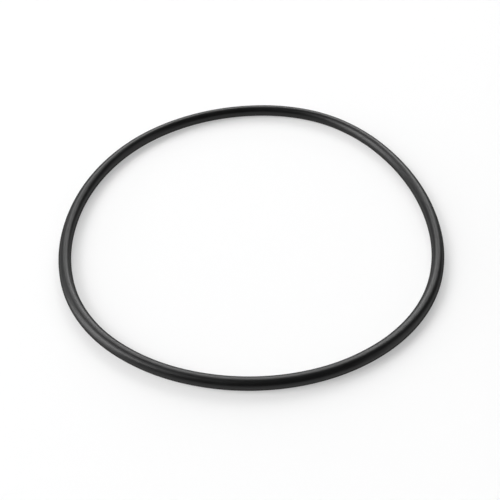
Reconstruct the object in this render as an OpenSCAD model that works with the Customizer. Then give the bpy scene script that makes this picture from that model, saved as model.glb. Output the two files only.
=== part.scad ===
// Rubber o-ring: a seal with a round section, moulded in one piece.
// It lies free on a flat surface, so it is a little out of round, as a soft ring settles.
// Z = 0 is the surface it rests on, and the Z axis goes up through the middle of its extents.
// Lengths are in millimetres. Directions are in degrees, turning from +X towards +Y.

/* [Ring] */
// Inside diameter, measured with the ring held to a true circle
inner_d = 104.37; // [90:0.01:200]
// Diameter of the round rubber section
section_d = 3.53; // [1.5:0.01:7]

/* [Lay] */
// How far the ring bulges out at the two ends of its oval
oval_out = 0.8; // [0:0.01:2]
// Direction of one end of the oval
oval_turn = 58; // [0:1:180]
// How far the ring bulges out at its three rounded corners
three_corner_out = 0.88; // [0:0.01:1.2]
// Direction of one of the three corners
three_corner_turn = 84; // [0:1:120]
// How far the ring bulges out at its four rounded corners
four_corner_out = 0.43; // [0:0.01:0.6]
// Direction of one of the four corners
four_corner_turn = 53; // [0:1:90]
// How far the ring bulges out at its five rounded corners
five_corner_out = 0.16; // [0:0.01:0.3]
// Direction of one of the five corners
five_corner_turn = 63; // [0:1:72]

/* [Finish] */
// Colour of the rubber
rubber_colour = "#232325";

/* [Hidden] */

// Smoothness of the preview: facets round the ring and round its section
ring_facets = 200;
section_facets = 48;

// The centre line is a loop of circular arcs. Each arc runs on into the next with no kink,
// because both have the same outward direction where they meet.
mean_r = (inner_d + section_d) / 2;
// Each radius is a whole number of these steps
radius_step = 0.1;

// The outward directions where arcs meet, in the first quarter turn. They belong to 3-4-5 and
// 7-24-25 triangles, so their parts are exact decimals and the arcs meet face to face.
first_quarter = [[1, 0], [0.96, 0.28], [0.8, 0.6], [0.6, 0.8], [0.28, 0.96]];
quarter_arcs = len(first_quarter);
arc_count = 4 * quarter_arcs;

// A direction turned on by a number of right angles
function turned(v, quarters) = quarters == 0 ? v : turned([-v[1], v[0]], quarters - 1);
meetings = [for (q = [0 : 3]) for (v = first_quarter) turned(v, q)];
function meeting(k) = meetings[k % arc_count];

// The step along an arc of radius 1, from its start to its end
function unit_step(k) = meeting(k + 1) - meeting(k);
// The outward direction at an arc's middle
function middle_turn(k) = let (v = meeting(k) + meeting(k + 1)) atan2(v[1], v[0]);

// What one kind of bulge takes off the radius of curvature. A closed line that stands out by
// out * cos(corners * (t - turn)) from a circle has a radius that is smaller by corners squared
// less 1 times as much.
function tightening(corners, out, turn, t) = (corners * corners - 1) * out * cos(corners * (t - turn));
function arc_radius(t) = mean_r
    - tightening(2, oval_out, oval_turn, t)
    - tightening(3, three_corner_out, three_corner_turn, t)
    - tightening(4, four_corner_out, four_corner_turn, t)
    - tightening(5, five_corner_out, five_corner_turn, t);
function stepped(x) = round(x / radius_step) * radius_step;

// All radii but the last two follow the bulges. The last two are those that close the loop.
free_radii = [for (k = [0 : arc_count - 3]) stepped(arc_radius(middle_turn(k)))];
function total(v, i = 0) = i == len(v) ? [0, 0] : v[i] + total(v, i + 1);
left_open = total([for (k = [0 : arc_count - 3]) free_radii[k] * unit_step(k)]);
step_a = unit_step(arc_count - 2);
step_b = unit_step(arc_count - 1);
function across(u, v) = u[0] * v[1] - u[1] * v[0];
closing_radii = [across(step_b, left_open), -across(step_a, left_open)] / across(step_a, step_b);
radii = concat(free_radii, closing_radii);

// Each centre lies on the line from the last centre to the place where the two arcs meet
function centres(k = 0, c = [0, 0]) = k == arc_count ? [] :
    concat([c], centres(k + 1, c + (radii[k] - radii[(k + 1) % arc_count]) * meeting(k + 1)));
centre = centres();

// The ring reaches furthest along X and Y where arcs meet, a quarter of the loop apart
function far_point(quarter) = let (k = quarter * quarter_arcs) centre[k] + radii[k] * meeting(k);
middle = [far_point(0)[0] + far_point(2)[0], far_point(1)[1] + far_point(3)[1]] / 2;

// One arc is cut from a full round ring by a wedge, long and high enough to clear the section.
// Neighbouring wedges overlap by a hair, so that the arcs join into one piece.
wedge_reach = ceil(inner_d + section_d);
wedge_height = 2 * section_d;
overlap = 0.0000001;
function wedge_corner(k, side) = wedge_reach * meeting(k) + side * overlap * turned(meeting(k), 1);

module arc_piece(k) {
    translate(centre[k]) intersection() {
        rotate_extrude($fn = ring_facets)
            translate([radii[k], 0])
                circle(d = section_d, $fn = section_facets);
        linear_extrude(height = wedge_height, center = true)
            polygon([[0, 0], wedge_corner(k, -1), wedge_corner(k + 1, 1)]);
    }
}

module o_ring() {
    color(rubber_colour)
        translate([-middle[0], -middle[1], section_d / 2])
            for (k = [0 : arc_count - 1]) arc_piece(k);
}

o_ring();
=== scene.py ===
"""A black rubber o-ring that lies free on a white studio floor, lit by large softboxes.

Sizes are in millimetres and degrees. They become metres where they go into a mesh, a material,
a lamp or the camera.
"""
import math

import bpy
import numpy as np
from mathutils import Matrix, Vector


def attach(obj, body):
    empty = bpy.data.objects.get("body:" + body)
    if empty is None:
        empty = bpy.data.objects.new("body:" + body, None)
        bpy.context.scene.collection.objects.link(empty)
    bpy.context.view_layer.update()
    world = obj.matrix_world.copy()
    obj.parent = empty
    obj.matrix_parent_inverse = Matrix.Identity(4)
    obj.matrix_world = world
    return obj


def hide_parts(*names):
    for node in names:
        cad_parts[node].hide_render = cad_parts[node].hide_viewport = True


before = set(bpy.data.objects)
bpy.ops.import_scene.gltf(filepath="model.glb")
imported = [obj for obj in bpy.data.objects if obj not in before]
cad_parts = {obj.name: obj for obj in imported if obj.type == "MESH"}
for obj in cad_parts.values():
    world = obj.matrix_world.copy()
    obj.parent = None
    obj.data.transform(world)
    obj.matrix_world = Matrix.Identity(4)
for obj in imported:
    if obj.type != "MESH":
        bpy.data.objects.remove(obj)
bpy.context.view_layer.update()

METRES = 0.001

# The ring, as it is moulded
INNER_D = 104.37
SECTION_D = 3.53
SECTION_R = SECTION_D / 2
MEAN_R = (INNER_D + SECTION_D) / 2

# How it lies: each kind of bulge has a number of rounded corners, how far they stand out from a
# circle, and the direction of one of them
BULGES = (
    (2, 0.80, 58.0),
    (3, 0.88, 84.0),
    (4, 0.43, 53.0),
    (5, 0.16, 63.0),
)
RADIUS_STEP = 0.1

# The line that the two halves of the mould leave round the inside and the outside. The rubber is
# trimmed there, so it dips a little and keeps a fine ridge in the middle of the dip.
TRIM_DEPTH = 0.012
TRIM_HALF_WIDTH = 0.30
RIDGE_HALF_WIDTH = 0.045

# Grid of the ring's surface
STEPS_ALONG = 1320
STEPS_AROUND = 68
EQUATOR_CROWDING = 0.36


def quarter_turned(v):
    """Directions turned a quarter turn on: x, y becomes -y, x."""
    return np.stack([-v[:, 1], v[:, 0]], axis=1)


def centre_line():
    """The twenty arcs of the centre line: start angles, sweeps, radii and centres.

    Arcs meet in directions from 3-4-5 and 7-24-25 triangles. A bulge of a given number of
    corners takes (corners squared - 1) * out * cos(corners * (t - turn)) off the radius of
    curvature at direction t. The last two radii close the loop, and each centre follows from
    the last one, along the direction in which the two arcs meet.
    """
    quarter = np.array([[1, 0], [0.96, 0.28], [0.8, 0.6], [0.6, 0.8], [0.28, 0.96]])
    quarters = [quarter]
    for _ in range(3):
        quarters.append(quarter_turned(quarters[-1]))
    meeting = np.concatenate(quarters)
    following = np.roll(meeting, -1, axis=0)
    step = following - meeting
    middle = meeting + following
    middle_turn = np.arctan2(middle[:, 1], middle[:, 0])

    radii = np.full(len(meeting), MEAN_R)
    for corners, out, turn in BULGES:
        swing = np.cos(corners * (middle_turn - math.radians(turn)))
        radii -= (corners**2 - 1) * out * swing
    radii = np.round(radii / RADIUS_STEP) * RADIUS_STEP
    left_open = (radii[:-2, None] * step[:-2]).sum(axis=0)
    radii[-2:] = np.linalg.solve(step[-2:].T, -left_open)

    shift = (radii - np.roll(radii, -1))[:, None] * following
    centres = np.concatenate([np.zeros((1, 2)), np.cumsum(shift, axis=0)[:-1]])
    start = np.arctan2(meeting[:, 1], meeting[:, 0]) % (2 * math.pi)
    sweep = (np.roll(start, -1) - start) % (2 * math.pi)
    return start, sweep, radii, centres


def along_centre_line(share):
    """Points and outward directions at shares 0 to 1 of the way round, by length along the arcs.

    A share falls in the arc whose stretch of the length holds it, and turns by what is left of
    the length over the arc's radius.
    """
    start, sweep, radii, centres = centre_line()
    ends = np.cumsum(radii * sweep)
    length = share * ends[-1]
    arc = np.searchsorted(ends, length, side="right")
    before = np.concatenate([[0], ends[:-1]])[arc]
    turn = start[arc] + (length - before) / radii[arc]
    outward = np.stack([np.cos(turn), np.sin(turn)], axis=1)
    points = centres[arc] + radii[arc][:, None] * outward
    return points, outward, ends[-1]


def bell(distance, half_width):
    """A smooth bump: 1 at distance 0, falling as exp(-(distance / half_width) squared)."""
    return np.exp(-((distance / half_width) ** 2))


def section_profile(turn):
    """Distance from the section's middle at each turn round it, 0 outwards and 90 degrees up.

    The round section less the trim's dip near the two equators, plus the fine ridge, which
    reaches back to the full radius. A second result says how much of the ridge is there, 0 to 1.
    """
    from_equator = np.abs(np.arcsin(np.sin(turn))) * SECTION_R
    dip = TRIM_DEPTH * bell(from_equator, TRIM_HALF_WIDTH)
    ridge = bell(from_equator, RIDGE_HALF_WIDTH)
    return SECTION_R - dip + TRIM_DEPTH * ridge, ridge


def surface_mesh(name, points, uv):
    """A mesh of four-sided faces over a grid of points that closes on itself both ways.

    Corner i, j joins i + 1, j and i + 1, j + 1 and i, j + 1, counted round the grid. The UV map
    runs on past the seam, so a pattern has no jump there.
    """
    rows, columns = points.shape[:2]
    i, j = np.meshgrid(np.arange(rows), np.arange(columns), indexing="ij")
    steps = np.array([[0, 0], [1, 0], [1, 1], [0, 1]])
    ii = i[..., None] + steps[:, 0]
    jj = j[..., None] + steps[:, 1]
    corners = (ii % rows) * columns + jj % columns

    mesh = bpy.data.meshes.new(name)
    mesh.vertices.add(rows * columns)
    mesh.vertices.foreach_set("co", (points * METRES).astype(np.float32).ravel())
    mesh.loops.add(corners.size)
    mesh.loops.foreach_set("vertex_index", corners.astype(np.int32).ravel())
    mesh.polygons.add(rows * columns)
    mesh.polygons.foreach_set("loop_start", np.arange(0, corners.size, 4, dtype=np.int32))
    layer = mesh.uv_layers.new(name="surface")
    along, around = uv
    flat = np.stack([along[ii], around[jj]], axis=-1)
    layer.data.foreach_set("uv", flat.astype(np.float32).ravel())
    mesh.update(calc_edges=True)
    mesh.validate()
    mesh.shade_smooth()
    return mesh


def rubber_ring():
    """The ring's surface: the section's profile carried along the centre line.

    Point (a, b) is the centre line at a, plus profile(b) times cos b outwards and sin b upwards.
    The turns round the section crowd together near the equators, where the fine ridge is: a
    share p of the way round stands at 2 pi p less the crowding times sin(4 pi p). The ring is
    then moved so that its furthest points along X and Y lie evenly about the origin.
    """
    share = np.arange(STEPS_ALONG) / STEPS_ALONG
    centre, outward, length = along_centre_line(share)
    part = np.arange(STEPS_AROUND) / STEPS_AROUND
    turn = 2 * math.pi * part - EQUATOR_CROWDING * np.sin(4 * math.pi * part)
    radius, ridge = section_profile(turn)

    start, _, radii, centres = centre_line()
    reach = centres + radii[:, None] * np.stack([np.cos(start), np.sin(start)], axis=1)
    right, back, left, front = reach[:: len(start) // 4]
    middle = np.array([right[0] + left[0], back[1] + front[1]]) / 2

    flat = (centre - middle)[:, None, :] + (radius * np.cos(turn))[None, :, None] * outward[:, None, :]
    height = np.broadcast_to(SECTION_R + radius * np.sin(turn), (STEPS_ALONG, STEPS_AROUND))
    points = np.concatenate([flat, height[..., None]], axis=-1)

    along_mm = np.arange(STEPS_ALONG + 1) / STEPS_ALONG * length
    around_mm = np.append(turn, 2 * math.pi) * SECTION_R
    mesh = surface_mesh("rubber_ring", points, (along_mm, around_mm))
    mask = mesh.attributes.new("ridge", "FLOAT", "POINT")
    mask.data.foreach_set("value", np.tile(ridge, STEPS_ALONG).astype(np.float32))
    ring = bpy.data.objects.new("rubber_ring", mesh)
    bpy.context.collection.objects.link(ring)
    return ring


class Nodes:
    """A material's nodes, made and joined in short calls."""

    def __init__(self, tree):
        self.tree = tree
        self.tree.nodes.clear()

    def add(self, kind, **settings):
        """A node of a kind, with its properties set."""
        node = self.tree.nodes.new(kind)
        for name, value in settings.items():
            setattr(node, name, value)
        return node

    def put(self, node, **inputs):
        """Sets inputs by name: a socket is linked, and any other value is written."""
        for name, value in inputs.items():
            socket = node.inputs[name.replace("_", " ")]
            if isinstance(value, bpy.types.NodeSocket):
                self.tree.links.new(value, socket)
            else:
                socket.default_value = value
        return node

    def noise(self, vector, scale, detail, roughness=0.55):
        """Grey noise about 0.5 on a vector."""
        node = self.add("ShaderNodeTexNoise")
        self.put(node, Vector=vector, Scale=scale, Detail=detail, Roughness=roughness)
        return node.outputs["Fac"]

    def ranged(self, value, low, high, new_low, new_high):
        """A value carried from one range to another, and held at its ends."""
        node = self.add("ShaderNodeMapRange")
        self.put(node, Value=value, From_Min=low, From_Max=high, To_Min=new_low, To_Max=new_high)
        return node.outputs["Result"]

    def smoothly(self, value, low, high, new_low, new_high):
        """A value carried from one range to another along a smooth curve."""
        node = self.add("ShaderNodeMapRange", interpolation_type="SMOOTHSTEP")
        self.put(node, Value=value, From_Min=low, From_Max=high, To_Min=new_low, To_Max=new_high)
        return node.outputs["Result"]

    def reckoned(self, operation, a, b):
        """The result of a sum or product of two linked values."""
        node = self.add("ShaderNodeMath", operation=operation)
        self.tree.links.new(a, node.inputs[0])
        self.tree.links.new(b, node.inputs[1])
        return node.outputs[0]

    def sum(self, a, b):
        """Two values added."""
        return self.reckoned("ADD", a, b)

    def product(self, a, b):
        """Two values multiplied."""
        return self.reckoned("MULTIPLY", a, b)

    def bump(self, height, strength, distance, under=None):
        """A surface normal bumped by a value, on top of another bump's normal if one is given."""
        node = self.add("ShaderNodeBump")
        self.put(node, Height=height, Strength=strength, Distance=distance * METRES)
        if under is not None:
            self.put(node, Normal=under)
        return node.outputs["Normal"]

    def mix_colour(self, share, a, b):
        """Two colours mixed."""
        node = self.add("ShaderNodeMix", data_type="RGBA")
        self.tree.links.new(share, node.inputs[0])
        node.inputs[6].default_value = a
        node.inputs[7].default_value = b
        return node.outputs[2]


def new_material(name):
    """An empty material and its nodes."""
    material = bpy.data.materials.new(name)
    material.use_nodes = True
    return material, Nodes(material.node_tree)


# The rubber's colour, from its darkest to its palest clouds
DARK_BODY = (0.0035, 0.0035, 0.0036, 1)
PALE_BODY = (0.0060, 0.0060, 0.0062, 1)
RUBBER_IOR = 1.385

# The stretches of the grey noise that turn into clouds of colour and of gloss
COLOUR_CLOUDS = (0.35, 0.70)
GLOSS_CLOUDS = (0.30, 0.70)

# Roughness: the least and most of the clouded skin, and what the moulding ridge adds
GLOSSY_SKIN = 0.33
MATT_SKIN = 0.37
RIDGE_SPREAD = 0.10

# A thin bloom on the skin spreads the gloss where it is seen at a glance. It begins and is full
# at these values of the facing weight, which is 0 face on and 1 edge on.
GLANCE_START = 0.38
GLANCE_FULL = 0.65
GLANCE_SPREAD = 0.55

# Patterns in the rubber, by how many of their features there are in a metre
CLOUDS = 160.0
WAVES = 280.0
RIPPLES = 900.0
GRAINS = 5200.0

# The heights of the last three, and how strongly each shows
WAVE_HEIGHT = 0.25
WAVE_STRENGTH = 0.25
RIPPLE_HEIGHT = 0.04
RIPPLE_STRENGTH = 0.12
GRAIN_HEIGHT = 0.03
GRAIN_STRENGTH = 0.10


def satin_rubber():
    """Smooth black nitrile: a dark body under a satin skin, both faintly clouded.

    Three bumps follow one on the other: a fine grain, the ripples of the mould's polish and a
    slow waviness of the soft ring. The gloss spreads on the moulding ridge and at a glance.
    """
    material, n = new_material("satin_rubber")
    place = n.add("ShaderNodeTexCoord").outputs["Object"]
    cloud = n.noise(place, CLOUDS, detail=4.0)
    grain = n.noise(place, GRAINS, detail=2.0)
    ripple = n.noise(place, RIPPLES, detail=2.0)
    wave = n.noise(place, WAVES, detail=1.0)
    ridge = n.add("ShaderNodeAttribute", attribute_name="ridge").outputs["Fac"]
    facing = n.add("ShaderNodeLayerWeight").outputs["Facing"]

    clouded = n.ranged(cloud, *COLOUR_CLOUDS, 0.0, 1.0)
    body = n.mix_colour(clouded, DARK_BODY, PALE_BODY)
    skin = n.ranged(cloud, *GLOSS_CLOUDS, GLOSSY_SKIN, MATT_SKIN)
    at_a_glance = n.ranged(facing, GLANCE_START, GLANCE_FULL, 0.0, GLANCE_SPREAD)
    on_the_ridge = n.ranged(ridge, 0.0, 1.0, 0.0, RIDGE_SPREAD)
    spread = n.sum(n.sum(skin, at_a_glance), on_the_ridge)

    grained = n.bump(grain, GRAIN_STRENGTH, GRAIN_HEIGHT)
    rippled = n.bump(ripple, RIPPLE_STRENGTH, RIPPLE_HEIGHT, grained)
    wavy = n.bump(wave, WAVE_STRENGTH, WAVE_HEIGHT, rippled)

    shader = n.add("ShaderNodeBsdfPrincipled")
    n.put(shader, Base_Color=body, Roughness=spread, IOR=RUBBER_IOR, Normal=wavy)
    out = n.add("ShaderNodeOutputMaterial")
    n.put(out, Surface=shader.outputs["BSDF"])
    return material


# The floor: its paint, and how far it is lifted towards white near the ring and far from it
FLOOR_SIZE = 40000.0
FLOOR_PAINT = 0.47
FLOOR_LIFT = 0.40
FAR_FLOOR_LIFT = 1.0
# Distances from the ring's middle between which the paint gives way to the far lift
FADE_START = 90.0
FADE_END = 350.0


def white_floor():
    """A wide white floor that keeps the ring's shadow.

    Seen directly, mirrored or through glass it is lifted to white. Away from the ring the paint
    fades out and the lift takes over, so that the floor is as white at the horizon as it is here.
    """
    half = FLOOR_SIZE / 2 * METRES
    mesh = bpy.data.meshes.new("floor")
    corners = [(-half, -half, 0), (half, -half, 0), (half, half, 0), (-half, half, 0)]
    mesh.from_pydata(corners, [], [(0, 1, 2, 3)])
    floor = bpy.data.objects.new("floor", mesh)
    bpy.context.collection.objects.link(floor)

    material, n = new_material("white_floor")
    place = n.add("ShaderNodeTexCoord").outputs["Object"]
    from_ring = n.add("ShaderNodeVectorMath", operation="LENGTH")
    n.tree.links.new(place, from_ring.inputs[0])
    distance = from_ring.outputs["Value"]
    far = n.smoothly(distance, FADE_START * METRES, FADE_END * METRES, 0.0, 1.0)
    near_paint = (FLOOR_PAINT, FLOOR_PAINT, FLOOR_PAINT, 1)
    no_paint = (0, 0, 0, 1)
    paint = n.add("ShaderNodeBsdfDiffuse")
    n.put(paint, Color=n.mix_colour(far, near_paint, no_paint))

    path = n.add("ShaderNodeLightPath").outputs
    seen = n.sum(n.sum(path["Is Camera Ray"], path["Is Glossy Ray"]), path["Is Transmission Ray"])
    lift = n.ranged(far, 0.0, 1.0, FLOOR_LIFT, FAR_FLOOR_LIFT)
    glow = n.add("ShaderNodeEmission")
    n.put(glow, Color=(1, 1, 1, 1), Strength=n.product(seen, lift))
    both = n.add("ShaderNodeAddShader")
    n.tree.links.new(paint.outputs[0], both.inputs[0])
    n.tree.links.new(glow.outputs[0], both.inputs[1])
    n.put(n.add("ShaderNodeOutputMaterial"), Surface=both.outputs[0])
    mesh.materials.append(material)


# The studio round the floor: white from the horizon up to the first height, and dim from the
# second on. A height here is the sine of the elevation.
WHITE_UP_TO = 0.04
DIM_FROM = 0.23
DIM_LEVEL = 0.05


def studio_world():
    """A studio that is white at the horizon and dim overhead, the same for every ray."""
    world = bpy.data.worlds.new("studio")
    bpy.context.scene.world = world
    world.use_nodes = True
    n = Nodes(world.node_tree)
    direction = n.add("ShaderNodeTexCoord").outputs["Generated"]
    height = n.put(n.add("ShaderNodeSeparateXYZ"), Vector=direction).outputs["Z"]
    level = n.smoothly(height, WHITE_UP_TO, DIM_FROM, 1.0, DIM_LEVEL)
    background = n.put(n.add("ShaderNodeBackground"), Color=(1, 1, 1, 1), Strength=level)
    n.put(n.add("ShaderNodeOutputWorld"), Surface=background.outputs[0])


# Softboxes: azimuth and elevation, width and height, brightness. They stand far enough off to
# light the floor evenly. The broad ones give the ring its soft bands of gloss, the two cores
# their brighter middles, and the low ones the thin line along its rim. They were placed and
# sized by comparing those bands with the photograph's all round the ring.
LAMP_DISTANCE = 4000.0
SOFTBOXES = {
    "back_right": (20, 36.5, 1800, 2150, 4.05),
    "back_right_core": (11, 32.5, 740, 1320, 5.8),
    "back_left": (340.5, 37.5, 1570, 2860, 3.2),
    "back_left_core": (347.5, 30.5, 740, 1570, 6.1),
    "back_low": (4, 12, 2340, 1070, 4.8),
    "left_back": (294, 41, 1900, 2100, 2.0),
    "left": (260, 36, 2270, 1950, 7.6),
    "left_high": (258, 56, 2880, 2340, 1.6),
    "left_low": (262.5, 9.5, 3000, 1270, 4.8),
    "right": (103, 22.5, 2570, 2480, 0.95),
}


def direction_to(azimuth, elevation):
    """Unit vector from the ring: azimuth 0 is behind it, 90 to its right."""
    a, e = math.radians(azimuth), math.radians(elevation)
    return Vector((math.cos(e) * math.sin(a), math.cos(e) * math.cos(a), math.sin(e)))


def softbox(name, azimuth, elevation, width, height, brightness):
    """A rectangular lamp that faces the ring and isn't seen itself.

    Its brightness is its radiance, 1 for white, so its power is that times pi times its area.
    """
    lamp = bpy.data.lights.new(name, "AREA")
    lamp.shape = "RECTANGLE"
    lamp.size = width * METRES
    lamp.size_y = height * METRES
    lamp.energy = brightness * math.pi * lamp.size * lamp.size_y
    holder = bpy.data.objects.new(name, lamp)
    bpy.context.collection.objects.link(holder)
    towards = direction_to(azimuth, elevation)
    holder.location = towards * LAMP_DISTANCE * METRES
    holder.rotation_euler = towards.to_track_quat("Z", "Y").to_euler()
    holder.visible_camera = False


def studio_lamps():
    """All the softboxes."""
    for name, values in SOFTBOXES.items():
        softbox(name, *values)


# The camera, from a fit to both edges of the ring in the photograph
CAMERA_PLACE = (-0.49, -159.21, 167.92)
CAMERA_ELEVATION = 48.0
CAMERA_LENS = 56.61
CAMERA_NEAR = 10.0
CAMERA_FAR = 100000.0


def camera():
    """The photograph's view of the ring."""
    data = bpy.data.cameras.new("camera")
    data.lens = CAMERA_LENS
    data.clip_start = CAMERA_NEAR * METRES
    data.clip_end = CAMERA_FAR * METRES
    holder = bpy.data.objects.new("camera", data)
    bpy.context.collection.objects.link(holder)
    holder.location = Vector(CAMERA_PLACE) * METRES
    holder.rotation_euler = (math.radians(90 - CAMERA_ELEVATION), 0, 0)
    bpy.context.scene.camera = holder


ring = rubber_ring()
ring.data.materials.append(satin_rubber())
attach(ring, "root")
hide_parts("o_ring")

white_floor()
studio_world()
studio_lamps()
camera()
bpy.context.scene.view_settings.view_transform = "Standard"
